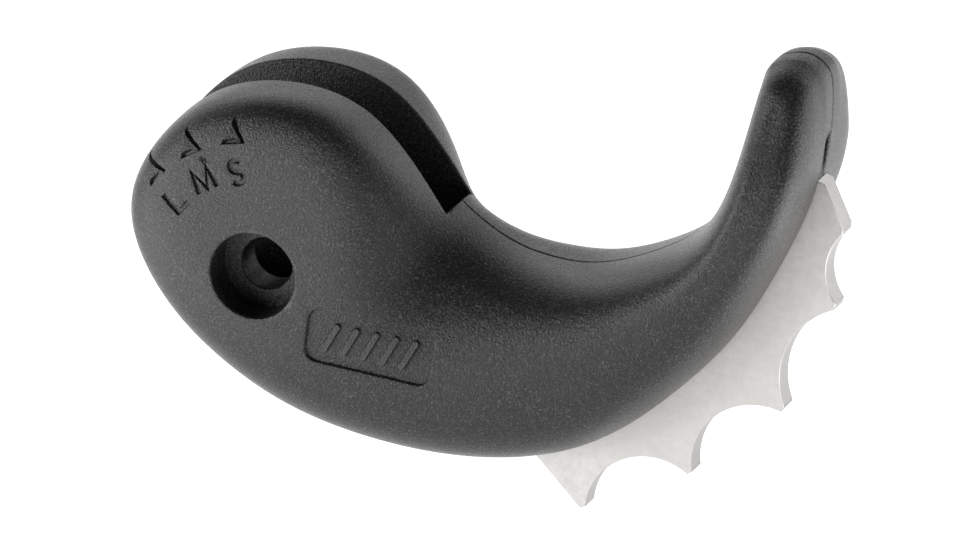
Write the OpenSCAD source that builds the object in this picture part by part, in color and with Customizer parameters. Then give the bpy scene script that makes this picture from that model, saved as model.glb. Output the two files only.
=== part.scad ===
// Bolt-on hand rest for the foot of a technical ice axe. Two moulded nylon halves close on each
// other and clamp the root of a toothed steel blade.
// Frame: the origin is on the bolt's axis, on the plane where the two halves meet. Y runs along
// the bolt, X from the round head to the tip of the hook, and the hook opens upwards, along Z.
// The half with the size marks is the near half, at negative Y. All lengths are millimetres.

/* [Bolt] */
// Clearance hole for the M6 bolt
bolt_hole_d = 6.6; // [6.2:0.1:7]
// Counterbore for the bolt's head, in the near half
counterbore_d = 11; // [10.5:0.1:12]
// Depth of the counterbore below the near face
counterbore_depth = 5.4; // [4:0.1:7]
// Width across the flats of the nut's pocket, in the far half
nut_flats = 10.2; // [10:0.1:11]
// Depth of the nut's pocket below the far face
nut_depth = 5.4; // [4:0.1:7]

/* [Slot for the axe's handle] */
// Width of the slot between the two cheeks
slot_w = 9; // [6:0.5:10]
// Distance from the bolt's axis to the floor of the slot
slot_floor_r = 9.5; // [8:0.1:10.5]
// Direction from the bolt to where the floor turns straight, on the hook's side
slot_hook_dir = -47; // [-52:1:-42]
// Direction from the bolt to where the floor turns straight, at the back of the head
slot_back_dir = -120; // [-130:1:-115]

/* [Blade] */
// Thickness of the steel plate
blade_t = 3.5; // [3:0.1:4]
// How far the blade's root reaches into the moulding
root_depth = 8; // [7.5:0.1:8.5]
// How far the narrow tang stays below the surface inside the tip
tang_cover = 2.4; // [2:0.1:3]
// Length of the flat on the point of each tooth
tooth_flat = 0.8; // [0.4:0.1:1.2]

/* [Pegs] */
// Diameter of the pegs that pass through the blade's root and join the halves
peg_d = 3.6; // [3:0.1:4]
// How far each peg enters the far half
peg_reach = 6; // [4:0.5:7]

/* [Size marks] */
// Depth of the letters below the near face
letter_depth = 0.4; // [0.2:0.1:0.8]
// Depth of the arrows' flat floors below the near face
arrow_depth = 1.1; // [0.7:0.1:1.3]

/* [Surface quality] */
// Facets along the outline between two stations
steps = 4; // [3:1:5]
// Rings of facets from the crest to the outline
rings = 12; // [8:1:13]

/* [Hidden] */
$fn = 64;
// How far the cutting shapes run past the faces that they open
past = 2;

// Outline of the moulding on the parting plane: x, z, and how square the edge is in section
// (2 is an ellipse, 8 is nearly a box). It starts at the upper back of the head, goes over the
// top and along the finger side to the tip, and comes back along the blade's side.
outline = [
    [-14.2, 14.8, 6.5], [-6.4, 20.9, 6.5], [4.0, 22.1, 7.5], [13.2, 18.2, 7.0], [20.0, 10.2, 2.3],
    [24.2, 6.0, 1.9], [28.9, 3.1, 2.4], [34.3, 1.6, 2.9], [40.5, 1.6, 3.0], [48.2, 4.2, 2.7],
    [55.2, 9.3, 2.0], [59.3, 18.0, 1.9], [61.6, 26.9, 2.1], [63.2, 30.4, 2.5], [66.5, 31.3, 2.2],
    [69.2, 30.1, 2.1], [70.2, 26.2, 3.6], [69.0, 15.8, 5.6], [64.9, 5.6, 4.4], [58.9, -4.6, 3.4],
    [51.4, -12.8, 3.0], [40.9, -20.3, 3.0], [27.4, -23.4, 3.0], [13.6, -22.5, 3.0],
    [0.7, -18.5, 3.2], [-9.8, -11.2, 3.4], [-16.0, -2.6, 4.0], [-17.9, 6.5, 5.4]
];

// Crest of the moulding, where it is widest: x, z and half width, from the head to the tip. The
// head's centre is repeated, so that the outline's stations round the head fan out from it.
head_centre = [-0.5, 2.0, 15.0];
crest = [
    head_centre, head_centre, head_centre, head_centre,
    [9.0, -6.5, 14.8], [18.0, -11.5, 14.2], [28.0, -13.0, 14.0], [38.0, -11.2, 13.8],
    [46.6, -6.8, 13.6], [53.6, -0.2, 13.2], [59.6, 8.0, 13.0], [63.3, 17.2, 13.2],
    [65.0, 23.4, 9.6], [65.9, 27.0, 8.5], [65.9, 27.0, 8.7]
];
last = len(crest) - 1;
// Stations that share one centre, at the head and at the tip
head_fan = 2;
tip_fan = 1;

// Points of the teeth and the depth of the hollow between each point and the next
teeth = [[38.5, -30.0], [52.4, -24.0], [64.4, -14.5], [71.1, -0.5], [72.1, 9.3]];
hollows = [4.2, 4.1, 3.1, 1.7];
// Ends of the blade's root, counted in stations along the outline
root_from = 21.9;
tang_from = 17.0;
tang_to = 16.1;
// Start of the blade's straight leading edge, inside the moulding
lead_start = [27.9, -19.0];
// Where the last tooth's flank ends, just clear of the moulding
flank_top = [69.7, 15.2];

// Pegs, in the blade's root and in the solid part of the head
pegs = [[35.5, -17.4], [48.6, -9.2], [61.9, 7.1], [16.0, -14.5]];

// Cubic B-spline weights at the fraction f between two stations
function weights(f) = [
    pow(1 - f, 3), 3 * pow(f, 3) - 6 * f * f + 4, 3 * f * (1 + f - f * f) + 1, pow(f, 3)
] / 6;

// Control points whose closed spline passes through the points p
function relax(c, p, n) = n == 0 ? c : relax([
    for (i = [0 : len(p) - 1]) (6 * p[i] - c[(i + len(p) - 1) % len(p)] - c[(i + 1) % len(p)]) / 4
], p, n - 1);

function blend(a, b, c, d, f) = let (w = weights(f)) w[0] * a + w[1] * b + w[2] * c + w[3] * d;
function at_ring(c, u) = let (i = floor(u), n = len(c))
    blend(c[(i + n - 1) % n], c[i % n], c[(i + 1) % n], c[(i + 2) % n], u - i);

// The crest is one line used by both sides, so its stations fold back at the head and the tip
function station(i) = let (a = abs(i)) crest[a > last ? 2 * last - a : a];
function at_crest(v) = let (i = min(floor(v), last - 1))
    blend(station(i - 1), station(i), station(i + 1), station(i + 2), v - i);

through = relax(outline, outline, 24);
function rim_at(u) = let (p = at_ring(through, u)) [p.x, p.y];
function squareness_at(u) = at_ring(outline, u)[2];
function inward(u) = let (d = rim_at(u + 0.01) - rim_at(u - 0.01)) [d.y, -d.x] / norm(d);

samples = len(outline) * steps;
crest_points = (last - head_fan - tip_fan) * steps + 1;
function crest_id(k) = min(max(min(k, samples - k) - head_fan * steps, 0), crest_points - 1);

// A point on the near surface: sample k along the outline, ring j from the crest (0) to the rim
function surface_point(k, j) = let (
    u = k / steps,
    c = at_crest(crest_id(k) / steps + head_fan),
    r = rim_at(u),
    e = 2 / squareness_at(u),
    t = pow(sin(90 * j / rings), e),
    y = j == rings ? 0 : c[2] * pow(cos(90 * j / rings), e)
) [c.x + (r.x - c.x) * t, -y, c.y + (r.y - c.y) * t];

// Half of the moulding as one closed skin: the crowned outside and the flat parting face
module half_moulding() {
    crest_line = [
        for (h = [0 : crest_points - 1]) let (c = at_crest(h / steps + head_fan)) [c.x, -c[2], c.y]
    ];
    rows = [for (k = [0 : samples - 1]) for (j = [1 : rings]) surface_point(k, j)];
    function id(k, j) = j == 0 ? crest_id(k) : crest_points + k * rings + j - 1;
    faces = [
        for (k = [0 : samples - 1]) let (m = (k + 1) % samples) each [
            [id(k, 0), id(k, 1), id(m, 1)],
            if (id(k, 0) != id(m, 0)) [id(k, 0), id(m, 1), id(m, 0)],
            for (j = [1 : rings - 1]) each [
                [id(k, j), id(k, j + 1), id(m, j + 1)],
                [id(k, j), id(m, j + 1), id(m, j)]
            ]
        ],
        // The parting face, as rungs from each sample to its partner on the other side
        for (k = [0 : samples / 2 - 1]) let (a = id(k, rings), b = id(k + 1, rings),
            c = id((samples - k) % samples, rings), d = id(samples - k - 1, rings)) each [
            if (a != c) [b, a, c],
            if (b != d) [b, c, d]
        ]
    ];
    polyhedron(points = concat(crest_line, rows), faces = faces, convexity = 6);
}

// A flat shape drawn in x and z, given thickness from y0 to y1
module slab(y0, y1) {
    translate([0, y1, 0]) rotate([90, 0, 0]) linear_extrude(y1 - y0) children();
}

module drill(x, z, d, y0, y1) {
    translate([x, y1, z]) rotate([90, 0, 0]) cylinder(d = d, h = y1 - y0);
}

function polar(r, a) = r * [cos(a), sin(a)];

// The slot: round under the bolt, straight to the hook's side and to the back, open above
module slot_shape() {
    reach = 32;
    hook_side = polar(slot_floor_r, slot_hook_dir);
    back_side = polar(slot_floor_r, slot_back_dir);
    circle(r = slot_floor_r);
    polygon([
        hook_side, hook_side + polar(reach, slot_hook_dir + 90), [reach, reach],
        [-reach, reach], back_side + polar(reach, slot_back_dir - 90), back_side
    ]);
}

function tooth_dir(i) = let (a = teeth[max(i - 1, 0)], b = teeth[min(i + 1, len(teeth) - 1)])
    (b - a) / norm(b - a);
function tooth_end(i, side) = teeth[i] + side * tooth_flat / 2 * tooth_dir(i);

module hollow(i) {
    a = tooth_end(i, 1);
    b = tooth_end(i + 1, -1);
    chord = norm(b - a);
    out = [b.y - a.y, a.x - b.x] / chord;
    r = (chord * chord / 4 + hollows[i] * hollows[i]) / (2 * hollows[i]);
    translate((a + b) / 2 + (r - hollows[i]) * out) circle(r = r);
}

// The root gets shallower towards the tang, because the tip is thin
function root_share(u) = 0.62 + 0.38 * (u - tang_to) / (root_from - tang_to);
function root_at(u) = rim_at(u) + inward(u) * root_depth * root_share(u);

module blade_shape() {
    difference() {
        polygon(concat(
            [lead_start],
            [for (u = [root_from : -0.2 : tang_to]) root_at(u)],
            [for (u = [tang_to : 0.3 : tang_from]) rim_at(u) + inward(u) * tang_cover],
            [flank_top],
            [for (i = [len(teeth) - 1 : -1 : 0]) each [tooth_end(i, 1), tooth_end(i, -1)]]
        ));
        for (i = [0 : len(hollows) - 1]) hollow(i);
    }
}

// Outline of a groove of width w along a path
function heading(p, i) = let (d = p[min(i + 1, len(p) - 1)] - p[max(i - 1, 0)]) d / norm(d);
function aside(p, i, w) = let (
    h = heading(p, i),
    s = p[min(i + 1, len(p) - 1)] - p[min(i, len(p) - 2)],
    c = abs(h * s) / norm(s)
) [-h.y, h.x] * w / 2 * min(1 / c, 1.5);
module groove(p, w) {
    polygon(concat(
        [for (i = [0 : len(p) - 1]) p[i] + aside(p, i, w)],
        [for (i = [len(p) - 1 : -1 : 0]) p[i] - aside(p, i, w)]
    ));
}

// Size marks: the letters of the three sizes, upright along their own direction from the bolt, each
// with an arrow that points round the bolt. The arrows' flat floors run out in the rounded edge.
letter_r = 13.4;
letter_dirs = [138, 118.2, 98.4];
arrow_r = 17.1;
arrow_behind = 5.3;
arrow_turn = -118.5;
arrow_side = 3.1;
arrow_half_angle = 34.5;
stroke_w = 0.6;
letter_paths = [
    [[-1.0, 1.45], [-1.0, -1.4], [0.9, -1.4]],
    [[-1.35, -1.45], [-1.05, 1.45], [0, -1.2], [1.05, 1.45], [1.35, -1.45]],
    [for (t = [0 : 12]) let (a = t < 6 ? 45 + 37.5 * t : 37.5 * (12 - t) - 135)
        [0.85 * cos(a), 0.75 * sin(a) + (t < 6 ? 0.72 : -0.72)]]
];
module letters() {
    for (i = [0 : 2]) rotate(letter_dirs[i]) translate([letter_r, 0]) rotate(-90)
        groove(letter_paths[i], stroke_w);
}
module arrows() {
    base = -arrow_side * cos(arrow_half_angle);
    half = arrow_side * sin(arrow_half_angle);
    for (d = letter_dirs) rotate(d - arrow_behind) translate([arrow_r, 0]) rotate(arrow_turn)
        polygon([[0, 0], [base, half], [base, -half]]);
}

// The near half stops short of the far one above the blade, which leaves a step in the seam
module seam_step() {
    slab(-blade_t / 2, past) polygon([[69.9, 21.6], [69.2, 19.9], [68.7, 13.5], [73, 13.5], [73, 21.6]]);
}

module shell_openings() {
    slab(-slot_w / 2, past) slot_shape();
    slab(-blade_t / 2, past) blade_shape();
    drill(0, 0, bolt_hole_d, -20, past);
}

module near_shell() {
    face = head_centre[2];
    color("#26262a") {
        difference() {
            half_moulding();
            shell_openings();
            seam_step();
            drill(0, 0, counterbore_d, -20, counterbore_depth - face);
            slab(-20, letter_depth - face) letters();
            slab(-20, arrow_depth - face) arrows();
        }
        for (p = pegs) drill(p.x, p.y, peg_d, -blade_t, blade_t / 2 + peg_reach);
    }
}

module far_shell() {
    face = head_centre[2];
    color("#2b2b2f") difference() {
        mirror([0, 1, 0]) difference() {
            half_moulding();
            shell_openings();
        }
        translate([0, face + 5, 0]) rotate([90, 0, 0])
            cylinder(d = nut_flats / cos(30), h = nut_depth + 5, $fn = 6);
        for (p = pegs) drill(p.x, p.y, peg_d, -past, blade_t / 2 + peg_reach);
    }
}

module serrated_blade() {
    color("#c9c6c0") difference() {
        slab(-blade_t / 2, blade_t / 2) blade_shape();
        for (i = [0 : 2]) drill(pegs[i].x, pegs[i].y, peg_d, -blade_t, blade_t);
    }
}

near_shell();
far_shell();
serrated_blade();
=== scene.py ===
"""Looks of the bolt-on hand rest: two grained nylon halves round a blasted steel plate.

The shapes are worked out in millimetres, in the frame of the CAD model: Y along the bolt, X from
the round head to the tip, Z up, and the origin on the bolt's axis where the two halves meet.
"""

import math

import bmesh
import bpy
import numpy as np
from mathutils import Matrix, Vector
from mathutils.bvhtree import BVHTree
from mathutils.geometry import delaunay_2d_cdt


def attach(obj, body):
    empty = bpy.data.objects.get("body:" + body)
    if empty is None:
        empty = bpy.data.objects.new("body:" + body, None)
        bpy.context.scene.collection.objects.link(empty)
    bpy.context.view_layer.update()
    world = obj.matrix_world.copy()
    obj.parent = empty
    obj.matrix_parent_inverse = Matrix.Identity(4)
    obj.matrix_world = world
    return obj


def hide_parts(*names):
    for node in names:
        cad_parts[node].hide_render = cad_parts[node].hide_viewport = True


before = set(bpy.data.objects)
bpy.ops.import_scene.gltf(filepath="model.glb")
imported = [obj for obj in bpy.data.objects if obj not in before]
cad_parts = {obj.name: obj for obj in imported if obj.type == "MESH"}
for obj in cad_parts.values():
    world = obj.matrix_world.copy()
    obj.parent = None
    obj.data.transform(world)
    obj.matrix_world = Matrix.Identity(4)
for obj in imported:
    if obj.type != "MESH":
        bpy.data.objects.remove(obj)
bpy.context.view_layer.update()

MM = 0.001

# ---------------- sizes, as the CAD model has them
BOLT_HOLE_R = 3.3
COUNTERBORE_R = 5.5
NUT_FLATS = 10.2
SEAT_Y = -9.6  # floor of the counterbore, and of the nut's pocket on the other half
CHEEK_Y = -4.5
POCKET_Y = -1.75  # half the plate's thickness
SLOT_FLOOR_R = 9.5
SLOT_HOOK_DIR = -47
SLOT_BACK_DIR = -120
ROOT_DEPTH = 8
TANG_COVER = 2.4
TOOTH_FLAT = 0.8
PEG_R = 1.8
PEG_END = 7.75
PEGS = [(35.5, -17.4), (48.6, -9.2), (61.9, 7.1)]
HEAD_PEG = (16.0, -14.5)

# Outline on the parting plane: x, z and how square the edge is in section
OUTLINE = np.array([
    [-14.2, 14.8, 6.5], [-6.4, 20.9, 6.5], [4.0, 22.1, 7.5], [13.2, 18.2, 7.0], [20.0, 10.2, 2.3],
    [24.2, 6.0, 1.9], [28.9, 3.1, 2.4], [34.3, 1.6, 2.9], [40.5, 1.6, 3.0], [48.2, 4.2, 2.7],
    [55.2, 9.3, 2.0], [59.3, 18.0, 1.9], [61.6, 26.9, 2.1], [63.2, 30.4, 2.5], [66.5, 31.3, 2.2],
    [69.2, 30.1, 2.1], [70.2, 26.2, 3.6], [69.0, 15.8, 5.6], [64.9, 5.6, 4.4], [58.9, -4.6, 3.4],
    [51.4, -12.8, 3.0], [40.9, -20.3, 3.0], [27.4, -23.4, 3.0], [13.6, -22.5, 3.0],
    [0.7, -18.5, 3.2], [-9.8, -11.2, 3.4], [-16.0, -2.6, 4.0], [-17.9, 6.5, 5.4],
])
# Crest, where the moulding is widest: x, z and half width, from the head to the tip
HEAD_CENTRE = [-0.5, 2.0, 15.0]
CREST = np.array([HEAD_CENTRE] * 4 + [
    [9.0, -6.5, 14.8], [18.0, -11.5, 14.2], [28.0, -13.0, 14.0], [38.0, -11.2, 13.8],
    [46.6, -6.8, 13.6], [53.6, -0.2, 13.2], [59.6, 8.0, 13.0], [63.3, 17.2, 13.2],
    [65.0, 23.4, 9.6], [65.9, 27.0, 8.5], [65.9, 27.0, 8.7],
])
HEAD_FAN = 2
TIP_FAN = 13
TURN = len(OUTLINE)

TEETH = np.array([[38.5, -30.0], [52.4, -24.0], [64.4, -14.5], [71.1, -0.5], [72.1, 9.3]])
HOLLOWS = [4.2, 4.1, 3.1, 1.7]
ROOT_FROM, TANG_FROM, TANG_TO = 21.9, 17.0, 16.1
ROOT_LEAST = 0.62  # the share of its depth that the root has beside the tang
LEAD_START = (27.9, -19.0)
FLANK_TOP = (69.7, 15.2)
STEP_TOP, STEP_KNEE, STEP_FOOT = (69.9, 21.6), (69.2, 19.9), (68.86, 15.47)


# ---------------- the moulding's surface
def weights(f):
    """The four weights of a cubic spline at the share f between two points."""
    return np.array([(1 - f) ** 3, 3 * f**3 - 6 * f**2 + 4, 3 * f * (1 + f - f * f) + 1, f**3]) / 6


def control_points(through, rounds=24):
    """Control points whose closed cubic spline passes through the given points."""
    c = through.copy()
    for _ in range(rounds):
        c = (6 * through - np.roll(c, 1, 0) - np.roll(c, -1, 0)) / 4
    return c


CONTROL = control_points(OUTLINE[:, :2])


def on_loop(points, u):
    """The closed cubic spline at the places u."""
    i = np.floor(u).astype(int)
    w = weights(u - i)
    return sum(w[k][:, None] * points[(i + k - 1) % len(points)] for k in range(4))


def rim(u):
    """The outline at the places u, as (x, z) rows."""
    return on_loop(CONTROL, np.atleast_1d(np.asarray(u, float)))


def squareness(u):
    """How square the section is at the places u: 2 is an ellipse, 8 is nearly a box."""
    return on_loop(OUTLINE[:, 2:], np.atleast_1d(np.asarray(u, float)))[:, 0]


def crest(v):
    """The crest at v stations from the head. The head and the tip fan out from one point each."""
    last = len(CREST) - 1
    v = np.clip(np.atleast_1d(np.asarray(v, float)), HEAD_FAN, TIP_FAN)
    i = np.minimum(np.floor(v).astype(int), last - 1)
    w = weights(v - i)
    total = 0
    for k in range(4):
        j = np.abs(i + k - 1)
        total = total + w[k][:, None] * CREST[np.where(j > last, 2 * last - j, j)]
    return total


def fold(u):
    """The place on the crest that belongs to the outline place u."""
    return np.minimum(u, TURN - u)


def section(u, turn):
    """Points (x, y, z) of the near surface at outline place u, at angles turn from crest to rim."""
    hub, edge, power = crest(fold(u))[0], rim(u)[0], 2 / squareness(u)[0]
    share = np.sin(turn) ** power
    width = hub[2] * np.abs(np.cos(turn)) ** power
    flat = hub[:2] + (edge - hub[:2]) * share[:, None]
    return np.column_stack([flat[:, 0], -width, flat[:, 1]])


def section_at_width(u, width):
    """The point of the near surface at outline place u that is width from the parting plane."""
    hub, edge, n = crest(fold(u))[0], rim(u)[0], squareness(u)[0]
    share = (1 - (width / hub[2]) ** n) ** (1 / n)
    flat = hub[:2] + (edge - hub[:2]) * share
    return [flat[0], -width, flat[1]]


def inward(u):
    """The direction into the part, square to the outline."""
    d = rim(u + 0.01)[0] - rim(u - 0.01)[0]
    return np.array([d[1], -d[0]]) / math.hypot(*d)


def polar(r, degrees):
    """The (x, z) point at distance r from the origin in that direction."""
    return np.array([r * math.cos(math.radians(degrees)), r * math.sin(math.radians(degrees))])


def crossing(p, q, low, high):
    """The outline place between low and high where the line through p and q crosses it."""
    p, d = np.array(p, float), np.array(q, float) - np.array(p, float)

    def side(u):
        r = rim(u)[0] - p
        return d[0] * r[1] - d[1] * r[0]

    at_low = side(low)
    for _ in range(50):
        middle = (low + high) / 2
        if side(middle) * at_low > 0:
            low = middle
        else:
            high = middle
    return (low + high) / 2


def along(points, step):
    """The same path with points no further apart than step, its corners kept."""
    path = [points[0]]
    for a, b in zip(points[:-1], points[1:]):
        n = max(1, round(math.dist(a, b) / step))
        path += [tuple(np.add(a, np.subtract(b, a) * k / n)) for k in range(1, n + 1)]
    return path


CIRCLE_POINTS = 72
PEG_POINTS = 48


def circle(centre, r, count=CIRCLE_POINTS):
    return [tuple(np.add(centre, polar(r, 360 * k / count))) for k in range(count)]


# ---------------- a solid in the making
def inside_runs(flat, triangles, pairs):
    """The triangles inside the closed runs of edges in pairs. Triangles that share an edge that
    is not in pairs are on the same side, which the largest of them tells."""
    fixed = {frozenset(p) for p in pairs}
    sharing = {}
    for n, t in enumerate(triangles):
        for k in range(3):
            sharing.setdefault(frozenset((t[k], t[k - 1])), []).append(n)
    a = flat[[p[0] for p in pairs]]
    b = flat[[p[1] for p in pairs]]
    rise = b[:, 1] - a[:, 1]
    rise[np.abs(rise) < 1e-12] = 1e-12
    kept, seen = [], set()
    for first in range(len(triangles)):
        if first in seen:
            continue
        seen.add(first)
        group, at_hull, k = [first], False, 0
        while k < len(group):
            t = triangles[group[k]]
            k += 1
            for edge in (frozenset((t[m], t[m - 1])) for m in range(3)):
                if edge in fixed:
                    continue
                at_hull |= len(sharing[edge]) == 1
                fresh = [n for n in sharing[edge] if n not in seen]
                seen.update(fresh)
                group += fresh
        if at_hull:
            continue
        corners = flat[[triangles[n] for n in group]]
        one, two = corners[:, 1] - corners[:, 0], corners[:, 2] - corners[:, 0]
        x, z = corners[np.argmax(np.abs(one[:, 0] * two[:, 1] - one[:, 1] * two[:, 0]))].mean(0)
        spans = (a[:, 1] > z) != (b[:, 1] > z)
        cuts = x < a[:, 0] + (b[:, 0] - a[:, 0]) * (z - a[:, 1]) / rise
        if np.count_nonzero(spans & cuts) % 2:
            kept += [triangles[n] for n in group]
    return kept


ROUNDING = 0.5  # the widest rounding, which a bevel weight of 1 means
SHARP_FROM = math.radians(38)  # edges that turn by more than this are shaded sharp


class Solid:
    """Points in millimetres and faces as lists of point numbers."""

    def __init__(self):
        self.points, self.faces, self.flat, self.rounds = [], [], [], []

    def add(self, flat_points, y):
        """Adds points given as (x, z) at one y, or at a list of y, and returns their numbers."""
        ys = y if hasattr(y, "__len__") else [y] * len(flat_points)
        start = len(self.points)
        self.points += [(float(p[0]), float(h), float(p[1])) for p, h in zip(flat_points, ys)]
        return list(range(start, len(self.points)))

    def strip(self, a, b, closed=False):
        """Faces between two rows of point numbers. Rows may share their end points."""
        n = len(a)
        for k in range(n if closed else n - 1):
            m = (k + 1) % n
            face = [i for i, j in zip((a[k], a[m], b[m], b[k]), (a[m], b[m], b[k], a[k])) if i != j]
            if len(face) > 2:
                self.faces.append(face)

    def fill(self, edges, extra=(), planar=False):
        """Triangles inside closed runs of edges, and through extra points, as seen along Y."""
        ids = sorted({i for e in edges for i in e} | set(extra))
        place = {i: k for k, i in enumerate(ids)}
        flat = np.array([[self.points[i][0], self.points[i][2]] for i in ids])
        pairs = [(place[a], place[b]) for a, b in edges]
        made = delaunay_2d_cdt([Vector(p) for p in flat], pairs, [], 0, 1e-7)
        triangles = [[made[3][k][0] for k in t] for t in made[2]]
        for t in inside_runs(flat, triangles, pairs):
            if planar:
                self.flat.append(len(self.faces))
            self.faces.append([ids[k] for k in t])

    def round_over(self, row, radius, closed=False):
        """Marks the edges along this row of points to be rounded with that radius."""
        n = len(row)
        for k in range(n if closed else n - 1):
            self.rounds.append((row[k], row[(k + 1) % n], radius))

    def mirrored(self):
        """The same solid on the other side of the parting plane."""
        self.points = [(x, -y, z) for x, y, z in self.points]
        return self

    def mesh(self, name):
        """A Blender object in metres, with the edges to round weighted for a bevel."""
        bm = bmesh.new()
        weight = bm.edges.layers.float.new("bevel_weight_edge")
        corners = [bm.verts.new(Vector(p) * MM) for p in self.points]
        faces = [bm.faces.new([corners[i] for i in f]) for f in self.faces]
        bmesh.ops.recalc_face_normals(bm, faces=bm.faces)
        level = {faces[k] for k in self.flat}
        inner = [e for e in bm.edges if len(e.link_faces) == 2 and set(e.link_faces) <= level]
        for a, b, radius in self.rounds:
            e = bm.edges.get((corners[a], corners[b]))
            if e:
                e[weight] = radius / ROUNDING
        for f in bm.faces:
            f.smooth = True
        for e in bm.edges:
            if len(e.link_faces) == 2 and e[weight] == 0 and e.calc_face_angle() > SHARP_FROM:
                e.smooth = False
        bmesh.ops.dissolve_limit(bm, angle_limit=0.01, verts=[], edges=inner)
        bmesh.ops.delete(bm, geom=[v for v in bm.verts if not v.link_faces], context="VERTS")
        data = bpy.data.meshes.new(name)
        bm.to_mesh(data)
        bm.free()
        obj = bpy.data.objects.new(name, data)
        bpy.context.scene.collection.objects.link(obj)
        rounding = obj.modifiers.new("rounding", "BEVEL")
        rounding.limit_method = "WEIGHT"
        rounding.width = ROUNDING * MM
        rounding.segments = 3
        rounding.use_clamp_overlap = False
        even = obj.modifiers.new("even_normals", "WEIGHTED_NORMAL")
        even.keep_sharp = True
        return obj


def ring_edges(row):
    """The edges of a closed row of point numbers."""
    return [(row[k], row[(k + 1) % len(row)]) for k in range(len(row))]


# ---------------- one half of the moulding
CLOSE = 11  # columns of faces for each station of the outline
RINGS = 34  # rings of faces from the crest to the edge of the cheek
SEAM_LEVELS = [4.5, 3.6, 2.7, 1.75, 1.2, 0.6, 0.0]  # distances of the rows from the parting plane
AT_POCKET = 3  # the level that is the pocket's floor
SLOT_STEP, MOUTH_STEP = 1.0, 0.8  # between points along the slot's floor and the plate's mouth
ROOT_STEP = 0.2  # between points along the plate's hidden root, in outline stations
FINE_TURNS = 400  # how finely each section is measured to space its rings evenly
EPS = 1e-9
CHEEK_EDGE_R = 0.35
SEAM_R = 0.3
HOLE_EDGE_R = 0.25


def slot_floor():
    """The slot's floor from the hook's side, under the bolt, to the back: (x, z) points."""
    hook = polar(SLOT_FLOOR_R, SLOT_HOOK_DIR)
    back = polar(SLOT_FLOOR_R, SLOT_BACK_DIR)
    far_hook = hook + polar(32, SLOT_HOOK_DIR + 90)
    far_back = back + polar(32, SLOT_BACK_DIR - 90)
    u_hook = crossing(hook, far_hook, 4.0, 5.2)
    u_back = crossing(back, far_back, 25.4, 27.0)
    arc = [tuple(polar(SLOT_FLOOR_R, d)) for d in np.linspace(SLOT_HOOK_DIR, SLOT_BACK_DIR, 24)]
    path = along([tuple(rim(u_hook)[0]), arc[0]], SLOT_STEP)[1:] + arc[1:]
    path += along([arc[-1], tuple(rim(u_back)[0])], SLOT_STEP)[1:-1]
    return u_hook, u_back, path


def root_line():
    """The hidden edge of the plate, from its tang in the tip to its leading edge."""
    def share(u):
        return ROOT_LEAST + (1 - ROOT_LEAST) * (u - TANG_TO) / (ROOT_FROM - TANG_TO)

    tang_places = np.linspace(TANG_FROM, TANG_TO, 4)
    root_places = np.arange(TANG_TO, ROOT_FROM + ROOT_STEP / 4, ROOT_STEP)
    tang = [tuple(rim(u)[0] + inward(u) * TANG_COVER) for u in tang_places]
    root = [tuple(rim(u)[0] + inward(u) * ROOT_DEPTH * share(u)) for u in root_places]
    return tang + root + [LEAD_START]


def tooth_ends():
    """The two ends of the flat on each tooth's point."""
    ends = []
    for i, tip in enumerate(TEETH):
        d = TEETH[min(i + 1, len(TEETH) - 1)] - TEETH[max(i - 1, 0)]
        half = d / math.hypot(*d) * TOOTH_FLAT / 2
        ends.append((tuple(tip - half), tuple(tip + half)))
    return ends


def plate_mouth(stepped):
    """Where the plate's pocket opens through the outline, and the pocket's edge between."""
    hidden = root_line()
    u_end = crossing(LEAD_START, tooth_ends()[0][0], 21.0, 22.6)
    if stepped:
        u_start = crossing(STEP_KNEE, STEP_TOP, 16.1, 16.9)
        before = [tuple(rim(u_start)[0]), STEP_KNEE, STEP_FOOT, hidden[0]]
    else:
        u_start = crossing(FLANK_TOP, hidden[0], 16.6, 17.5)
        before = [tuple(rim(u_start)[0]), hidden[0]]
    after = [hidden[-1], tuple(rim(u_end)[0])]
    path = along(before, MOUTH_STEP)[1:] + hidden[1:] + along(after, MOUTH_STEP)[1:-1]
    return u_start, u_end, path


def columns(breaks):
    """Outline places of the columns, with one on each break, and their places folded."""
    fixed = {0.0, float(HEAD_FAN), float(TIP_FAN), TURN / 2}
    stops = sorted(fixed | {float(fold(b)) for b in breaks})
    folded = [0.0]
    for a, b in zip(stops[:-1], stops[1:]):
        n = max(1, round((b - a) * CLOSE))
        folded += [a + (b - a) * k / n for k in range(1, n + 1)]
    return folded + [TURN - v for v in reversed(folded[1:-1])], folded


def skin_grid(solid, places, folded, slot, mouth):
    """The outside as rows of point numbers, one per column, each as long as that column needs."""
    first = folded.index(float(HEAD_FAN))
    last = folded.index(float(TIP_FAN))
    top = crest(np.array(folded[first:last + 1]))
    crest_ids = solid.add(top[:, :2], -top[:, 2])
    fine = np.linspace(0, math.pi / 2, FINE_TURNS)
    rows = []
    for i, u in enumerate(places):
        k = min(i, len(places) - i)
        row = [crest_ids[min(max(k, first), last) - first]]
        line = section(u, fine)
        line = line[line[:, 1] < CHEEK_Y]
        line = np.vstack([line, section_at_width(u, -CHEEK_Y)])
        run = np.concatenate([[0], np.cumsum(np.linalg.norm(np.diff(line, axis=0), axis=1))])
        spots = np.linspace(0, run[-1], RINGS + 1)[1:]
        even = np.column_stack([np.interp(spots, run, line[:, c]) for c in range(3)])
        row += solid.add(even[:, [0, 2]], even[:, 1])
        in_slot = u > slot[1] + EPS or u < slot[0] - EPS
        in_mouth = mouth[0] + EPS < u < mouth[1] - EPS
        last_level = 0 if in_slot else AT_POCKET if in_mouth else len(SEAM_LEVELS) - 1
        for width in SEAM_LEVELS[1:last_level + 1]:
            p = section_at_width(u, width)
            row += solid.add([(p[0], p[2])], p[1])
        rows.append(row)
    return rows


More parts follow.
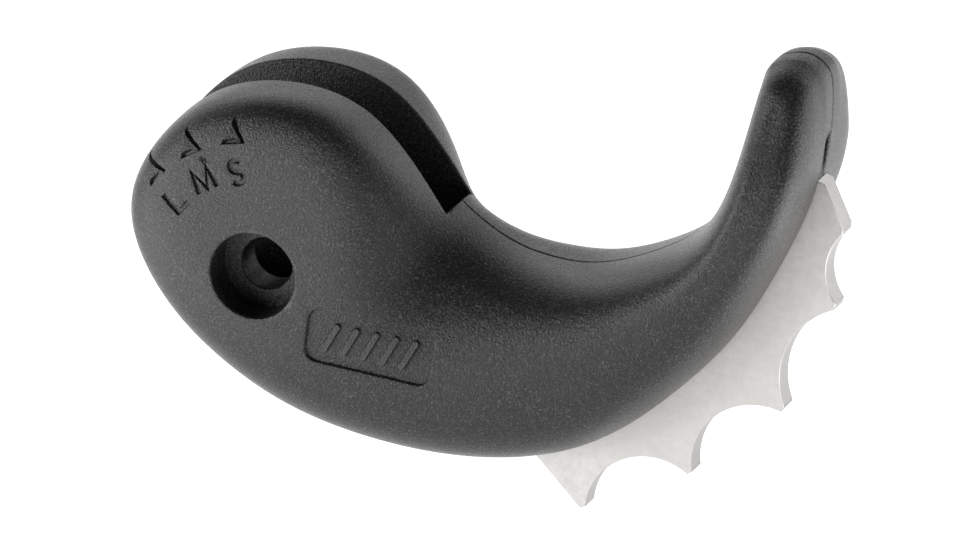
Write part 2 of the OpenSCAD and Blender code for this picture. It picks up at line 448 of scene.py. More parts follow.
def near_loop(points, loop, margin):
    """True for each (x, z) point inside a closed loop or nearer to it than margin."""
    points, a = np.asarray(points, float), np.asarray(loop, float)
    b = np.roll(a, -1, axis=0)
    d = b - a
    t = ((points[:, None] - a) * d).sum(2) / np.maximum((d * d).sum(1), 1e-12)
    gap = np.linalg.norm(points[:, None] - (a + np.clip(t, 0, 1)[..., None] * d), axis=2).min(1)
    rise = np.where(np.abs(d[:, 1]) < 1e-12, 1e-12, d[:, 1])
    spans = (a[:, 1] > points[:, None, 1]) != (b[:, 1] > points[:, None, 1])
    cuts = points[:, None, 0] < a[:, 0] + d[:, 0] * (points[:, None, 1] - a[:, 1]) / rise
    inside = (spans & cuts).sum(1) % 2 == 1
    return inside | (gap < margin)


SURFACE_STEP = 1 / 30  # between its columns, in outline stations
SURFACE_TURNS = 120
FAR_OUT = -40  # a Y that is well outside the part


class Surface:
    """The near outside as a smooth surface that gives its depth at any (x, z)."""

    def __init__(self):
        places = np.arange(0, TURN, SURFACE_STEP)
        turns = np.linspace(0, math.pi / 2, SURFACE_TURNS)[:-1]
        grid = np.array([section(u, turns) for u in places])
        columns_n, rings_n = grid.shape[:2]
        number = np.arange(columns_n * rings_n).reshape(columns_n, rings_n)
        after = np.roll(number, -1, axis=0)
        quads = np.stack([number[:, :-1], number[:, 1:], after[:, 1:], after[:, :-1]], -1)
        self.tree = BVHTree.FromPolygons(grid.reshape(-1, 3).tolist(), quads.reshape(-1, 4).tolist())

    def depth(self, x, z):
        hit = self.tree.ray_cast(Vector((x, FAR_OUT, z)), Vector((0, 1, 0)))
        return hit[0][1]


OPEN_MARGIN = 0.75  # faces nearer than this to an opening are made again
FILL_MARGIN = 0.3  # points nearer than this to an opening are left out of its filling
FRONT_DEPTH = 1.5  # how far above the cheek's face the front of the skin starts


def skin(solid, rows, opened):
    """Faces of the outside, without those that come near a loop in opened. Returns the edges
    and the inner points of what was left out."""
    quads = []
    for i, row in enumerate(rows):
        other = rows[(i + 1) % len(rows)]
        for j in range(min(len(row), len(other)) - 1):
            face = [row[j], row[j + 1], other[j + 1]] + ([other[j]] if other[j] != row[j] else [])
            quads.append(face)
    flat = np.array([[p[0], p[2]] for p in solid.points])
    touched = np.zeros(len(flat), bool)
    front = np.array([p[1] for p in solid.points]) < CHEEK_Y - FRONT_DEPTH
    for loop in opened:
        touched |= near_loop(flat, loop, OPEN_MARGIN) & front
    left_out = [q for q in quads if any(touched[i] for i in q)]
    solid.faces += [q for q in quads if not any(touched[i] for i in q)]
    count = {}
    for q in left_out:
        for k in range(len(q)):
            edge = tuple(sorted((q[k], q[(k + 1) % len(q)])))
            count[edge] = count.get(edge, 0) + 1
    edges = [e for e, n in count.items() if n == 1]
    on_edge = {i for e in edges for i in e}
    return edges, sorted({i for q in left_out for i in q} - on_edge)


def away_from(solid, ids, loops):
    """Those of the points that are clear of all the loops."""
    flat = [[solid.points[i][0], solid.points[i][2]] for i in ids]
    close = np.zeros(len(ids), bool)
    for loop in loops:
        close |= near_loop(flat, loop, FILL_MARGIN)
    return [i for i, c in zip(ids, close) if not c]


RELAX_R = 8
RELAX_ROUNDS = 60
RELAX_CLEAR = 1  # points this close to the pocket's floor stay where they are
RELAX_MOVE = 0.5  # how far towards its neighbours' mean a point goes in one round


def relax(solid, centre):
    """Evens out the outside near a point, less so further from it."""
    p = np.array(solid.points)
    gap = np.hypot(p[:, 0] - centre[0], p[:, 2] - centre[1])
    share = np.clip(2 - 2 * gap / RELAX_R, 0, 1) * (p[:, 1] < POCKET_Y - RELAX_CLEAR)
    moving = np.flatnonzero(share > 0)
    sides = {(f[k], f[k - 1]) for f in solid.faces for k in range(len(f))}
    pairs = {(a, b) for a, b in sides if share[a] > 0 or share[b] > 0}
    pairs = np.array(sorted(pairs | {(b, a) for a, b in pairs}))
    count = np.bincount(pairs[:, 0], minlength=len(p))[moving, None]
    for _ in range(RELAX_ROUNDS):
        total = np.zeros_like(p)
        np.add.at(total, pairs[:, 0], p[pairs[:, 1]])
        p[moving] += share[moving, None] * RELAX_MOVE * (total[moving] / count - p[moving])
    solid.points = [tuple(map(float, q)) for q in p]


def well(solid, flat_loop, start, end_y, bottom=True):
    """A straight wall from a loop of points that are there already to end_y, and its floor."""
    end = solid.add(flat_loop, end_y)
    solid.strip(start, end, closed=True)
    if bottom:
        solid.fill(ring_edges(end), planar=True)
    return end


def half(stepped, pegs_end, front):
    """One half of the moulding, as a near half. Its pegs, or their sockets, end at Y pegs_end, and
    front adds its outer face."""
    solid = Solid()
    u_hook, u_back, floor_path = slot_floor()
    u_start, u_end, pocket_path = plate_mouth(stepped)
    places, folded = columns([u_hook, u_back, u_start, u_end])
    rows = skin_grid(solid, places, folded, (u_hook, u_back), (u_start, u_end))

    def column(u):
        return min(range(len(places)), key=lambda i: abs(places[i] - u))

    hook, back, start, end = column(u_hook), column(u_back), column(u_start), column(u_end)
    over_slot = [i % len(places) for i in range(back, len(places) + hook + 1)]

    # the slot's floor, from the cheek to the parting plane
    floor = [rows[hook][RINGS:]]
    floor += [[solid.add([p], -w)[0] for w in SEAM_LEVELS] for p in floor_path]
    floor += [rows[back][RINGS:]]
    for a, b in zip(floor[:-1], floor[1:]):
        solid.strip(a, b)
    # the pocket's wall, from the pocket's floor to the parting plane
    wall = [rows[start][RINGS + AT_POCKET:]]
    wall += [[solid.add([p], -w)[0] for w in SEAM_LEVELS[AT_POCKET:]] for p in pocket_path]
    wall += [rows[end][RINGS + AT_POCKET:]]
    for a, b in zip(wall[:-1], wall[1:]):
        solid.strip(a, b)

    # the cheek's inner face, with the bolt's hole
    edge = [rows[i][RINGS] for i in over_slot]
    inner_hole = solid.add(circle((0, 0), BOLT_HOLE_R), CHEEK_Y)
    cheek = edge + [f[0] for f in floor[1:-1]]
    solid.fill(ring_edges(cheek) + ring_edges(inner_hole), planar=True)
    # the pocket's floor, with the pegs or their sockets
    mouth = [rows[i][RINGS + AT_POCKET] for i in range(start, end + 1)]
    pegs = [solid.add(circle(p, PEG_R, PEG_POINTS), POCKET_Y) for p in PEGS]
    pocket = mouth + [w[0] for w in reversed(wall[1:-1])]
    solid.fill(ring_edges(pocket) + [e for p in pegs for e in ring_edges(p)], planar=True)
    # the parting face
    before = [rows[i][-1] for i in range(hook, start + 1)]
    after = [rows[i][-1] for i in range(end, back + 1)]
    head_peg = solid.add(circle(HEAD_PEG, PEG_R, PEG_POINTS), 0)
    parting = before + [w[-1] for w in wall[1:-1]] + after
    parting += [f[-1] for f in reversed(floor[1:-1])]
    solid.fill(ring_edges(parting) + ring_edges(head_peg), planar=True)
    for centre, ring in zip(PEGS + [HEAD_PEG], pegs + [head_peg]):
        well(solid, circle(centre, PEG_R, PEG_POINTS), ring, pegs_end)

    # the outer face and the bolt's hole
    seat_hole = well(solid, circle((0, 0), BOLT_HOLE_R), inner_hole, SEAT_Y, bottom=False)
    front(solid, rows, seat_hole)
    relax(solid, crest(TIP_FAN)[0][:2])

    for row in (edge, rows[hook][RINGS:], rows[back][RINGS:]):
        solid.round_over(row, CHEEK_EDGE_R)
    for row in (before, after):
        solid.round_over(row, SEAM_R)
    solid.round_over([f[-1] for f in floor], SEAM_R / 2)
    solid.round_over(mouth, SEAM_R)
    for row in (rows[start], rows[end]):
        solid.round_over(row[RINGS + AT_POCKET:], SEAM_R / 2)
    for ring in (inner_hole, seat_hole):
        solid.round_over(ring, HOLE_EDGE_R, closed=True)
    return solid


def sink(solid, surface, outer_loop, collar_loop, seat_hole):
    """A recess round the bolt's hole: a collar of even faces on the outside, the edge of the
    recess, its wall, and its floor. Returns the collar's outer loop."""
    outer = solid.add(collar_loop, [surface.depth(*p) for p in collar_loop])
    top = solid.add(outer_loop, [surface.depth(*p) for p in outer_loop])
    solid.strip(outer, top, closed=True)
    low = solid.add(outer_loop, SEAT_Y)
    solid.strip(top, low, closed=True)
    solid.fill(ring_edges(low) + ring_edges(seat_hole), planar=True)
    solid.round_over(top, HOLE_EDGE_R, closed=True)
    return outer


SURFACE = Surface()
COLLAR = 0.6  # the width of the even faces round a recess


def near_front(solid, rows, seat_hole):
    """The near half's outer face, with the counterbore, the size marks and the panel."""
    bore = circle((0, 0), COUNTERBORE_R)
    collar = circle((0, 0), COUNTERBORE_R + COLLAR)
    letters, arrows = letter_loops(), arrow_loops()
    panel_top, panel_floor, ribs = panel_loops()
    loops = [collar, panel_top] + letters + [a[0] for a in arrows]
    edges, inside = skin(solid, rows, loops)
    edges += ring_edges(sink(solid, SURFACE, bore, collar, seat_hole))
    for loop in letters:
        edges += engrave(solid, loop)
    for loop, walls, corners in arrows:
        edges += cut_arrow(solid, loop, walls, corners)
    edges += cut_panel(solid, panel_top, panel_floor, ribs, inside)
    solid.fill(edges, away_from(solid, inside, loops))


# ---------------- the near face's marks
LETTER_R = 13.4
LETTER_DIRS = [138, 118.2, 98.4]
LETTER_DEPTH = 0.4
LETTER_DRAFT = 0.1  # how far a letter's floor stands in from its mouth
LETTER_STEP = 0.5
STROKE = 0.68
MITRE = 1.5  # the most that a stroke gets wider at a corner
MARK_EDGE_R = 0.09
ARROW_RS = [16.8, 16.9, 17.0]
ARROW_BEHIND = 5.3
ARROW_TURN = -118.5
ARROW_SIDE = 3.5
ARROW_HALF_ANGLE = 34.5
ARROW_GROOVE, ARROW_GROOVE_W = 1.2, 0.33  # the groove's depth, and half its width
ARROW_LESSER = 0.45  # the depth of the groove beside the other edge, of the deep one's
ARROW_SHALLOW = 0.4
ARROW_RAMP = 3  # how steeply the grooves run out at the open side
ARROW_RUN = 2  # how far from the open side the shallow floor has its full depth
ARROW_OTHER = 0.95  # the length of the other edge, of the deep one's
ARROW_STEP = 0.4
ARROW_DRAFT = 0.05
ARROW_ROWS = 9
ARROW_CLEAR = 0.2  # points this close to the open side are left out of the floor
LETTER_PATHS = [
    [(-1.0, 1.45), (-1.0, -1.4), (0.9, -1.4)],
    [(-1.35, -1.45), (-1.05, 1.45), (0.0, -1.2), (1.05, 1.45), (1.35, -1.45)],
    [
        (0.85 * math.cos(math.radians(a)), 0.75 * math.sin(math.radians(a)) + shift)
        for a, shift in (
            [(45 + 22.5 * t, 0.72) for t in range(11)] + [(67.5 - 22.5 * t, -0.72) for t in range(10)]
        )
    ],
]


def turned(points, degrees, shift=(0, 0)):
    """Points moved by shift and then turned about the origin."""
    c, s = polar(1, degrees)
    moved = [(p[0] + shift[0], p[1] + shift[1]) for p in points]
    return [(c * x - s * z, s * x + c * z) for x, z in moved]


def stroke_outline(path, width):
    """The outline of a stroke of that width along a path."""
    p = np.array(path, float)
    left, right = [], []
    for i in range(len(p)):
        d = p[min(i + 1, len(p) - 1)] - p[max(i - 1, 0)]
        d = d / math.hypot(*d)
        s = p[min(i + 1, len(p) - 1)] - p[min(i, len(p) - 2)]
        spread = min(1 / abs(d @ s / math.hypot(*s)), MITRE)
        aside = np.array([-d[1], d[0]]) * width / 2 * spread
        left.append(tuple(p[i] + aside))
        right.append(tuple(p[i] - aside))
    return left + right[::-1]


def letter_loops():
    """The letters' outlines, each upright as seen along a ray from the bolt."""
    loops = []
    for path, direction in zip(LETTER_PATHS, LETTER_DIRS):
        upright = turned(stroke_outline(path, STROKE), -90)
        loops.append(along_closed(turned(upright, direction, (LETTER_R, 0)), LETTER_STEP))
    return loops


def along_closed(loop, step):
    """The same closed loop with points no further apart than step."""
    return along(list(loop) + [loop[0]], step)[:-1]


def arrow_loops():
    """Each arrow's outline, how many of its points have a wall under them, and its corners: the
    tip, the end of its deep edge, and the end of its other edge. The third side, where the notch
    runs out, comes last in the outline."""
    loops = []
    for direction, radius in zip(LETTER_DIRS, ARROW_RS):
        tip = polar(radius, direction - ARROW_BEHIND)
        heading = direction - ARROW_BEHIND + ARROW_TURN + 180
        deep = tip + polar(ARROW_SIDE, heading - ARROW_HALF_ANGLE)
        other = tip + polar(ARROW_SIDE * ARROW_OTHER, heading + ARROW_HALF_ANGLE)
        walls = along([tuple(other), tuple(tip), tuple(deep)], ARROW_STEP)
        runs_out = along([tuple(deep), tuple(other)], ARROW_STEP)[1:-1]
        loops.append((walls + runs_out, len(walls), (tip, deep, other)))
    return loops


def from_line(p, a, b):
    """How far the point p is from the line through a and b."""
    d = np.subtract(b, a)
    q = np.subtract(p, a)
    return abs(d[0] * q[1] - d[1] * q[0]) / math.hypot(*d)


def arrow_depth(p, tip, deep, other):
    """How far the floor of an arrow is below the face: a groove beside its deep edge, a lesser
    one beside its other edge, and between them a shallow floor that runs out."""
    share = max(
        min(1, max(0, 2 - from_line(p, tip, deep) / ARROW_GROOVE_W)),
        min(1, max(0, 2 - from_line(p, tip, other) / ARROW_GROOVE_W)) * ARROW_LESSER,
    )
    run = from_line(p, deep, other)
    return max(share * min(ARROW_GROOVE, run * ARROW_RAMP), ARROW_SHALLOW * min(1, run / ARROW_RUN))


def engrave(solid, loop):
    """A letter's groove, whose floor follows the face. Returns the edges of its mouth."""
    top = solid.add(loop, [SURFACE.depth(*p) for p in loop])
    solid.round_over(top, MARK_EDGE_R, closed=True)
    floor = shrunk(loop, LETTER_DRAFT)
    low = solid.add(floor, [SURFACE.depth(*p) + LETTER_DEPTH for p in loop])
    solid.strip(top, low, closed=True)
    solid.fill(ring_edges(low))
    return ring_edges(top)


def shrunk(loop, inset):
    """The loop moved inwards, or outwards for a negative inset, each point along the mean of its
    two sides' normals."""
    p = np.array(loop, float)
    ahead = np.roll(p, -1, axis=0) - p
    ahead /= np.linalg.norm(ahead, axis=1)[:, None]
    normal = np.column_stack([-ahead[:, 1], ahead[:, 0]])
    area = np.sum(p[:, 0] * np.roll(p[:, 1], -1) - np.roll(p[:, 0], -1) * p[:, 1])
    mean = normal + np.roll(normal, 1, axis=0)
    mean /= np.maximum((mean * mean).sum(1) / 2, 0.6)[:, None]
    return [tuple(q) for q in p + mean * inset * (1 if area > 0 else -1)]


def cut_arrow(solid, loop, walls, corners):
    """An arrow-shaped notch. Returns the edges of its mouth."""
    def floor(p):
        return SURFACE.depth(*p) + arrow_depth(p, *corners)

    top = solid.add(loop, [SURFACE.depth(*p) for p in loop])
    inner = shrunk(loop, ARROW_DRAFT)
    low = solid.add(inner[1:walls - 1], [floor(p) for p in inner[1:walls - 1]])
    low = [top[0]] + low + top[walls - 1:]
    solid.strip(top, low, closed=True)
    tip, deep, other = corners
    inside = []
    for m in range(1, ARROW_ROWS):
        for k in range(1, ARROW_ROWS + 1 - m):
            inside.append(tuple(
                tip
                + (deep - tip) * k * ARROW_GROOVE_W / from_line(deep, tip, other)
                + (other - tip) * m * ARROW_GROOVE_W / from_line(other, tip, deep)
            ))
    inside = [p for p in inside if from_line(p, deep, other) > ARROW_CLEAR]
    solid.fill(ring_edges(low), solid.add(inside, [floor(p) for p in inside]))
    return ring_edges(top)


PANEL_CENTRE = (15.0, -7.8)
PANEL_SLOPE = -8
PANEL_W, PANEL_H, PANEL_CORNER = 16.4, 7.0, 1.6
PANEL_DEPTH = 0.45
PANEL_DRAFT = 0.18
RIB_W, RIB_LENGTH, RIB_PITCH, RIB_LEAN = 0.95, 4.4, 2.5, 22
RIB_TOP = 0.08  # how far the ribs stay below the face
RIB_DRAFT = 0.12
RIBS = range(-2, 3)
PANEL_STEP = 0.7


def rounded_rectangle(w, h, r, arc=5):
    """A rectangle about the origin, with arc steps round each corner."""
    loop = []
    for cx, cz, turn in ((1, 1, 0), (-1, 1, 90), (-1, -1, 180), (1, -1, 270)):
        centre = (cx * (w / 2 - r), cz * (h / 2 - r))
        loop += [tuple(np.add(centre, polar(r, turn + 90 * k / arc))) for k in range(arc + 1)]
    return loop


def round_bar(w, length, arc=6, side=7):
    """A bar with round ends, upright, with the same number of points whatever its size."""
    straight = length / 2 - w / 2
    ends = []
    for sign in (1, -1):
        turns = [180 * k / arc + (0 if sign > 0 else 180) for k in range(arc + 1)]
        ends.append([tuple(np.add((0, sign * straight), polar(w / 2, a))) for a in turns])
    loop = []
    for this, other in ((ends[0], ends[1]), (ends[1], ends[0])):
        a, b = np.array(this[-1]), np.array(other[0])
        loop += this + [tuple(a + (b - a) * k / side) for k in range(1, side)]
    return loop


def panel_loops():
    """The panel's mouth, its floor, and the foot and head of each rib."""
    def placed(loop):
        return [tuple(np.add(PANEL_CENTRE, p)) for p in turned(loop, PANEL_SLOPE)]

    def rib(k, inset):
        bar = round_bar(RIB_W - 2 * inset, RIB_LENGTH - 2 * inset)
        return placed([(x + k * RIB_PITCH, z) for x, z in turned(bar, -RIB_LEAN)])

    top = along_closed(rounded_rectangle(PANEL_W, PANEL_H, PANEL_CORNER), PANEL_STEP)
    low = shrunk(top, PANEL_DRAFT)
    return placed(top), placed(low), [(rib(k, 0), rib(k, RIB_DRAFT)) for k in RIBS]


def cut_panel(solid, top_loop, low_loop, ribs, inside):
    """A shallow panel that follows the face, with plain slanted ribs. Returns its mouth."""
    top = solid.add(top_loop, [SURFACE.depth(*p) for p in top_loop])
    low = solid.add(low_loop, [SURFACE.depth(*p) + PANEL_DEPTH for p in low_loop])
    solid.strip(top, low, closed=True)
    solid.round_over(top, MARK_EDGE_R, closed=True)
    edges = ring_edges(low)
    for foot_loop, head_loop in ribs:
        foot = solid.add(foot_loop, [SURFACE.depth(*p) + PANEL_DEPTH for p in foot_loop])
        head = solid.add(head_loop, [SURFACE.depth(*p) + RIB_TOP for p in head_loop])
        solid.strip(foot, head, closed=True)
        solid.fill(ring_edges(head))
        edges += ring_edges(foot)
    flat = [(solid.points[i][0], solid.points[i][2]) for i in inside]
    within = near_loop(flat, shrunk(low_loop, FILL_MARGIN), 0)
    clear = np.ones(len(flat), bool)
    for foot_loop, _ in ribs:
        clear &= ~near_loop(flat, foot_loop, FILL_MARGIN)
    spots = [p for p, a, b in zip(flat, within, clear) if a and b]
    extra = solid.add(spots, [SURFACE.depth(*p) + PANEL_DEPTH for p in spots])
    solid.fill(edges, extra)
    return ring_edges(top)


NUT_SOFTENING = 0.1  # the share of each side that the softened corners take
NUT_STEP = 0.6


def far_front(solid, rows, seat_hole):
    """The nut's pocket. This half is made as a near half and mirrored, like its surface."""
    corner = NUT_FLATS / 2 / math.cos(math.radians(30))
    hexagon = [polar(corner, 60 * k) for k in range(6)]
    softened = []
    for k in range(6):
        a, b, c = hexagon[k - 1], hexagon[k], hexagon[(k + 1) % 6]
        into, out = b + (a - b) * NUT_SOFTENING, b + (c - b) * NUT_SOFTENING
        softened += [tuple(into), tuple((into + out) / 4 + b / 2), tuple(out)]
    loop = along_closed(softened, NUT_STEP)
    collar = [tuple(p) for p in shrunk(loop, -COLLAR)]
    edges, inside = skin(solid, rows, [collar])
    edges += ring_edges(sink(solid, SURFACE, loop, collar, seat_hole))
    solid.fill(edges, away_from(solid, inside, [collar]))


# ---------------- the plate
PLATE_EDGE_R = 0.14
HOLLOW_STEP = 4  # degrees round the hollow between two teeth
HOLLOW_LEAST = 8  # steps


def plate_outline():
    """The plate's edge: its hidden root, and back over the teeth and the hollows between them."""
    hidden = root_line()
    ends = tooth_ends()
    loop = hidden[::-1] + [FLANK_TOP]
    for i in range(len(TEETH) - 1, -1, -1):
        loop += [ends[i][1], ends[i][0]]
        if i:
            start, stop = np.array(ends[i - 1][1]), np.array(ends[i][0])
            chord = math.dist(start, stop)
            out = np.array([stop[1] - start[1], start[0] - stop[0]]) / chord
            deep = HOLLOWS[i - 1]
            r = (chord * chord / 4 + deep * deep) / (2 * deep)
            centre = (start + stop) / 2 + (r - deep) * out
            first_turn = math.degrees(math.atan2(*(stop - centre)[::-1]))
            turn = math.degrees(2 * math.asin(min(1, chord / 2 / r)))
            sign = 1 if np.cross(stop - centre, start - centre) > 0 else -1
            count = max(HOLLOW_LEAST, round(turn / HOLLOW_STEP))
            turns = [first_turn + sign * turn * k / count for k in range(1, count)]
            loop += [tuple(centre + polar(r, a)) for a in turns]
    return loop


def plate():
    """The toothed plate, with the holes that the pegs pass through."""
    solid = Solid()
    outline = plate_outline()
    holes = [circle(p, PEG_R, PEG_POINTS) for p in PEGS]
    sides = []
    for y in (POCKET_Y, -POCKET_Y):
        loops = [solid.add(loop, y) for loop in [outline] + holes]
        solid.fill([e for loop in loops for e in ring_edges(loop)], planar=True)
        sides.append(loops)
    for near, far in zip(*sides):
        solid.strip(near, far, closed=True)
    for loops in sides:
        solid.round_over(loops[0], PLATE_EDGE_R, closed=True)
    return solid


near = half(True, PEG_END, near_front).mesh("near_half")
far = half(False, -PEG_END, far_front).mirrored().mesh("far_half")
blade = plate().mesh("toothed_plate")

pieces = [
    (near, "near_shell", "nylon_near"),
    (far, "far_shell", "nylon_far"),
    (blade, "serrated_blade", "steel"),
]


# ---------------- materials
class Graph:
    """A small helper that adds linked nodes to one material."""

    def __init__(self, name):
        self.material = bpy.data.materials.new(name)
        self.material.use_nodes = True
        self.nodes = self.material.node_tree.nodes
        self.links = self.material.node_tree.links
        self.shader = self.nodes["Principled BSDF"]

    def add(self, kind, settings=None, **inputs):
        """A node. Its inputs are numbers, colours, or outputs of other nodes."""
        made = self.nodes.new(kind)
        for key, value in (settings or {}).items():
            setattr(made, key, value)
        for key, value in inputs.items():
            self.feed(made, key.replace("_", " "), value)
        return made

    def feed(self, made, key, value):
        socket = made.inputs[int(key[1:]) if key[1:].isdigit() else key]
        if isinstance(value, bpy.types.NodeSocket):
            self.links.new(value, socket)
        else:
            socket.default_value = value

    def noise(self, place, scale, detail, roughness=0.5):
        """Noise whose features are about 1 / scale metres apart."""
        made = self.add("ShaderNodeTexNoise", Vector=place, Scale=scale, Detail=detail,
                        Roughness=roughness)
        return made.outputs[0]

    def spread(self, value, low, high, to_low, to_high):
        """value taken from the range low to high, to the range to_low to to_high."""
        made = self.add("ShaderNodeMapRange", Value=value, From_Min=low, From_Max=high,
                        To_Min=to_low, To_Max=to_high)
        return made.outputs[0]

    def math(self, operation, a, b):
        return self.add("ShaderNodeMath", {"operation": operation}, i0=a, i1=b).outputs[0]

    def blend(self, share, one, two):
        """The colour one where share is 0, and two where it is 1."""
        made = self.add("ShaderNodeMix", {"data_type": "RGBA"}, i0=share)
        self.feed(made, "i6", one)
        self.feed(made, "i7", two)
        return made.outputs[2]


def rgb(r, g, b):
    return (r, g, b, 1)


GRAIN = 4000  # spark-eroded grain: hollows about a quarter of a millimetre apart
FINE_GRAIN = 5500  # and finer ones between them
GRAIN_MIX = (0.65, 0.35)  # shares of the two
GRAIN_DEPTH = 0.00018
CLOUDS = 70  # slow changes, about 14 millimetres apart
WEAR_BEGINS, WEAR_FULL = 0.53, 0.60  # how convex a worn edge is, as Pointiness gives it
PAINTED_GLINT_BEGINS, PAINTED_GLINT_FULL = 0.52, 0.66  # painted glints: how high the grain is where its base colour starts to be painted paler, and where it is fully so

BLAST = 2600  # blasted steel: dents about 0.4 millimetres apart
BLAST_DEPTH = 0.00004
BLAST_STRENGTH = 0.35
MOTTLE = 900
CUT_FROM, CUT_FULL = 0.9, 0.6  # the normal's part along Y where the cut edge begins and is full
CUT_SMOOTHER = 0.16


def nylon(name, dark, worn_and_glint, seed):
    """Black glass-filled nylon with a fine spark-eroded grain, paler where its edges show wear, and
    with painted glints: a paler base colour on the grain's peaks.
    """
    g = Graph(name)
    place = g.add("ShaderNodeTexCoord").outputs["Object"]
    shift = (seed, 0, 0)
    place = g.add("ShaderNodeVectorMath", {"operation": "ADD"}, i0=place, i1=shift).outputs[0]
    coarse = g.noise(place, GRAIN, 2, 0.6)
    fine = g.noise(place, FINE_GRAIN, 1)
    clouds = g.noise(place, CLOUDS, 3)
    parts = [g.math("MULTIPLY", part, share) for part, share in zip((coarse, fine), GRAIN_MIX)]
    grain = g.math("ADD", *parts)
    bump = g.add("ShaderNodeBump", Strength=1.0, Distance=GRAIN_DEPTH, Height=grain)
    g.links.new(bump.outputs[0], g.shader.inputs["Normal"])
    edge = g.add("ShaderNodeNewGeometry").outputs["Pointiness"]
    wear = g.spread(edge, WEAR_BEGINS, WEAR_FULL, 0, 0.8)
    wear = g.math("MULTIPLY", wear, g.spread(clouds, 0.35, 0.65, 0.5, 1))
    # painted glints: the grain's peaks take the paler colour, which stands in for light catching them
    painted_glint = g.spread(grain, PAINTED_GLINT_BEGINS, PAINTED_GLINT_FULL, 0, 1.0)
    painted_glint = g.math("MULTIPLY", painted_glint, g.spread(clouds, 0.3, 0.7, 0.6, 1))
    colour = g.blend(g.math("MAXIMUM", wear, painted_glint), dark, worn_and_glint)
    g.links.new(colour, g.shader.inputs["Base Color"])
    rough = g.spread(fine, 0.3, 0.7, 0.20, 0.40)
    rough = g.math("ADD", rough, g.spread(clouds, 0.3, 0.7, -0.03, 0.03))
    g.links.new(rough, g.shader.inputs["Roughness"])
    return g.material


FACE_DULL, FACE_BRIGHT = rgb(0.66, 0.645, 0.625), rgb(0.84, 0.825, 0.805)
FACE_CLOUD = rgb(0.62, 0.605, 0.585)
CUT_EDGE = rgb(0.38, 0.372, 0.362)


def steel(name):
    """A blasted stainless plate whose cut edges are smoother, and darker in colour."""
    g = Graph(name)
    coordinates = g.add("ShaderNodeTexCoord").outputs
    place = coordinates["Object"]
    blasted = g.noise(place, BLAST, 3, 0.6)
    mottle = g.noise(place, MOTTLE, 5, 0.7)
    clouds = g.noise(place, CLOUDS, 3)
    bump = g.add("ShaderNodeBump", Strength=BLAST_STRENGTH, Distance=BLAST_DEPTH, Height=blasted)
    g.links.new(bump.outputs[0], g.shader.inputs["Normal"])
    across = g.add("ShaderNodeSeparateXYZ", Vector=coordinates["Normal"]).outputs["Y"]
    cut = g.spread(g.math("ABSOLUTE", across, 0.0), CUT_FROM, CUT_FULL, 0, 1)
    face = g.blend(g.spread(mottle, 0.3, 0.7, 0, 1), FACE_DULL, FACE_BRIGHT)
    face = g.blend(g.spread(clouds, 0.35, 0.7, 0, 0.35), face, FACE_CLOUD)
    g.links.new(g.blend(cut, face, CUT_EDGE), g.shader.inputs["Base Color"])
    rough = g.spread(mottle, 0.3, 0.7, 0.50, 0.64)
    rough = g.math("SUBTRACT", rough, g.math("MULTIPLY", cut, CUT_SMOOTHER))
    g.links.new(rough, g.shader.inputs["Roughness"])
    g.shader.inputs["Metallic"].default_value = 1
    return g.material


# the paler colour of each half serves both its worn edges and its painted glints on the grain's peaks
NEAR_DARK, NEAR_WORN_AND_GLINT = rgb(0.012, 0.0118, 0.0115), rgb(0.11, 0.108, 0.104)
FAR_DARK, FAR_WORN_AND_GLINT = rgb(0.0135, 0.0132, 0.0128), rgb(0.12, 0.117, 0.112)
FAR_SEED = 0.37  # moves the far half's grain, so that the halves don't match across the seam

near.data.materials.append(nylon("grained_nylon_near", NEAR_DARK, NEAR_WORN_AND_GLINT, 0.0))
far.data.materials.append(nylon("grained_nylon_far", FAR_DARK, FAR_WORN_AND_GLINT, FAR_SEED))
blade.data.materials.append(steel("blasted_steel"))


# ---------------- camera, floor and light
AZIMUTH, ELEVATION = math.radians(19.06), math.radians(18.19)
RIGHT = Vector((math.cos(AZIMUTH), math.sin(AZIMUTH), 0))
TOWARDS = Vector((math.sin(AZIMUTH), -math.cos(AZIMUTH), 0))  # level, from the part to the camera
BACK = TOWARDS * math.cos(ELEVATION) + Vector((0, 0, math.sin(ELEVATION)))
UP = BACK.cross(RIGHT)
PHOTO_WIDTH = 978
PIXELS_PER_MM = 8.084
SENSOR_MM = 36
CAMERA_MM = 2500  # further away, the lens would be so long that other views get clipped
AIM = RIGHT * 24.27 - UP * 4.25  # what the middle of the picture shows, in millimetres
FLOOR_Z = -31.0 * MM
TABLE_HALF = 6  # half the table's side, in metres
TABLE_GLOW = 0.85  # behind and under the part
FRONT_GLOW = 0.6  # well in front of it, less, because the near face mirrors it
GLOW_FADES = (0.03, 0.3)  # how far in front the glow starts and ends to change, in metres
ROOM = 0.1
# name, degrees to the right of the camera, degrees above the part, distance, size, radiance
SOFTBOXES = [
    ("left_strip", -72, 4, 0.9, (0.75, 0.34), 7.0),
    ("left_back_softbox", -135, 20, 1.0, (0.9, 0.8), 0.9),
    ("back_softbox", 180, 25, 1.2, (0.9, 0.8), 1.2),
    ("right_back_softbox", 122, 24, 1.0, (0.9, 0.9), 1.6),
    ("right_strip", 80, 3, 0.8, (0.6, 0.24), 4.0),
]
# name, degrees to the right of the camera, distance, size, radiance
CARDS = [
    ("left_card", -62, 0.15, (0.12, 0.16), 2.2),
    ("right_card", 66, 0.11, (0.10, 0.06), 4.5),
]
CARD_TILT = 0.001  # enough to line a card's sides up with its direction


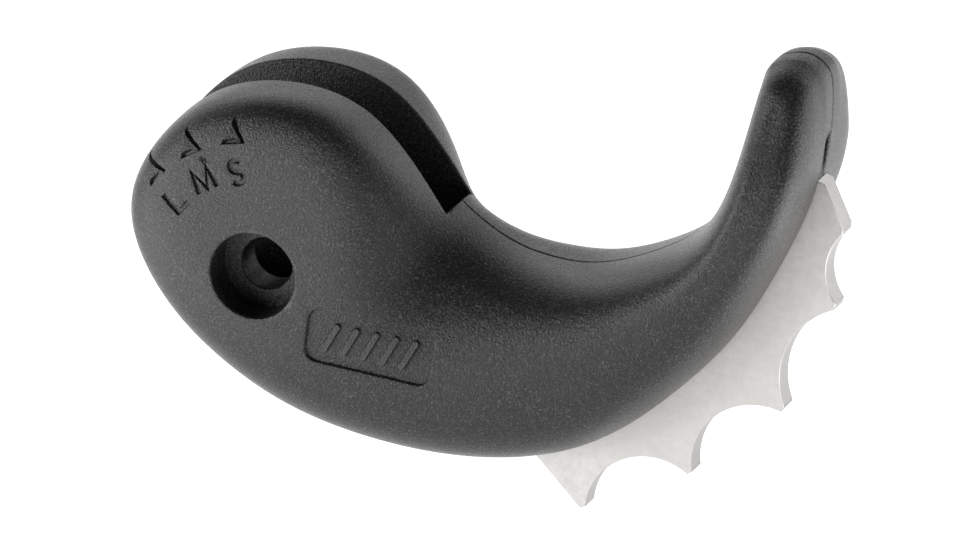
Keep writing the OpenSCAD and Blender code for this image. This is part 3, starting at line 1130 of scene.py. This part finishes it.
def add_camera():
    """A long lens at the photo's viewing angle."""
    lens = bpy.data.cameras.new("camera")
    lens.sensor_width = SENSOR_MM
    lens.lens = SENSOR_MM * PIXELS_PER_MM * CAMERA_MM / PHOTO_WIDTH
    lens.clip_start = 0.05
    lens.clip_end = 40
    camera = bpy.data.objects.new("camera", lens)
    bpy.context.scene.collection.objects.link(camera)
    camera.matrix_world = Matrix((
        (RIGHT.x, UP.x, BACK.x, 0),
        (RIGHT.y, UP.y, BACK.y, 0),
        (RIGHT.z, UP.z, BACK.z, 0),
        (0, 0, 0, 1),
    ))
    camera.location = (AIM + BACK * CAMERA_MM) * MM
    bpy.context.scene.camera = camera


def area_light(name, place, facing_from, size, radiance):
    """A rectangle of light, not seen by the camera, that shines away from facing_from."""
    lamp = bpy.data.lights.new(name, "AREA")
    lamp.shape = "RECTANGLE"
    lamp.size, lamp.size_y = size
    lamp.energy = radiance * math.pi * size[0] * size[1]
    made = bpy.data.objects.new(name, lamp)
    bpy.context.scene.collection.objects.link(made)
    made.location = place
    made.rotation_euler = facing_from.to_track_quat("Z", "Y").to_euler()
    made.visible_camera = False


def level_direction(turn):
    """The direction that is turn degrees to the right of the one from the part to the camera."""
    return TOWARDS * math.cos(math.radians(turn)) + RIGHT * math.sin(math.radians(turn))


def softbox(name, turn, height, distance, size, radiance):
    """A soft light that faces the part from height degrees above it, in metres."""
    h = math.radians(height)
    towards = level_direction(turn) * math.cos(h) + Vector((0, 0, math.sin(h)))
    area_light(name, AIM * MM + towards * distance, towards, size, radiance)


def card(name, turn, distance, size, radiance):
    """A lit card that lies on the table in front of the part and faces up, in metres."""
    place = AIM * MM + level_direction(turn) * distance
    place.z = FLOOR_Z + MM
    area_light(name, place, level_direction(turn) * CARD_TILT - Vector((0, 0, 1)), size, radiance)


def add_floor():
    """A pale light table: white, and lit from inside, a little less in front of the part."""
    corners = [(-1, -1), (1, -1), (1, 1), (-1, 1)]
    data = bpy.data.meshes.new("light_table")
    points = [(x * TABLE_HALF, y * TABLE_HALF, FLOOR_Z) for x, y in corners]
    data.from_pydata(points, [], [(0, 1, 2, 3)])
    table = bpy.data.objects.new("light_table", data)
    bpy.context.scene.collection.objects.link(table)
    g = Graph("pale_table")
    g.shader.inputs["Base Color"].default_value = rgb(0.82, 0.82, 0.82)
    g.shader.inputs["Roughness"].default_value = 0.9
    g.shader.inputs["Emission Color"].default_value = rgb(1, 1, 1)
    place = g.add("ShaderNodeTexCoord").outputs["Object"]
    in_front = g.add("ShaderNodeVectorMath", {"operation": "DOT_PRODUCT"}, i0=place,
                     i1=tuple(TOWARDS))
    glow = g.spread(in_front.outputs["Value"], *GLOW_FADES, TABLE_GLOW, FRONT_GLOW)
    g.links.new(glow, g.shader.inputs["Emission Strength"])
    data.materials.append(g.material)


add_camera()
add_floor()
for row in SOFTBOXES:
    softbox(*row)
for row in CARDS:
    card(*row)
room = bpy.data.worlds.new("dim_room")
room.use_nodes = True
room.node_tree.nodes["Background"].inputs["Color"].default_value = rgb(1, 1, 1)
room.node_tree.nodes["Background"].inputs["Strength"].default_value = ROOM
bpy.context.scene.world = room
bpy.context.scene.view_settings.view_transform = "Standard"

for piece, node, slot in pieces:
    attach(piece, "root")
    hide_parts(node)
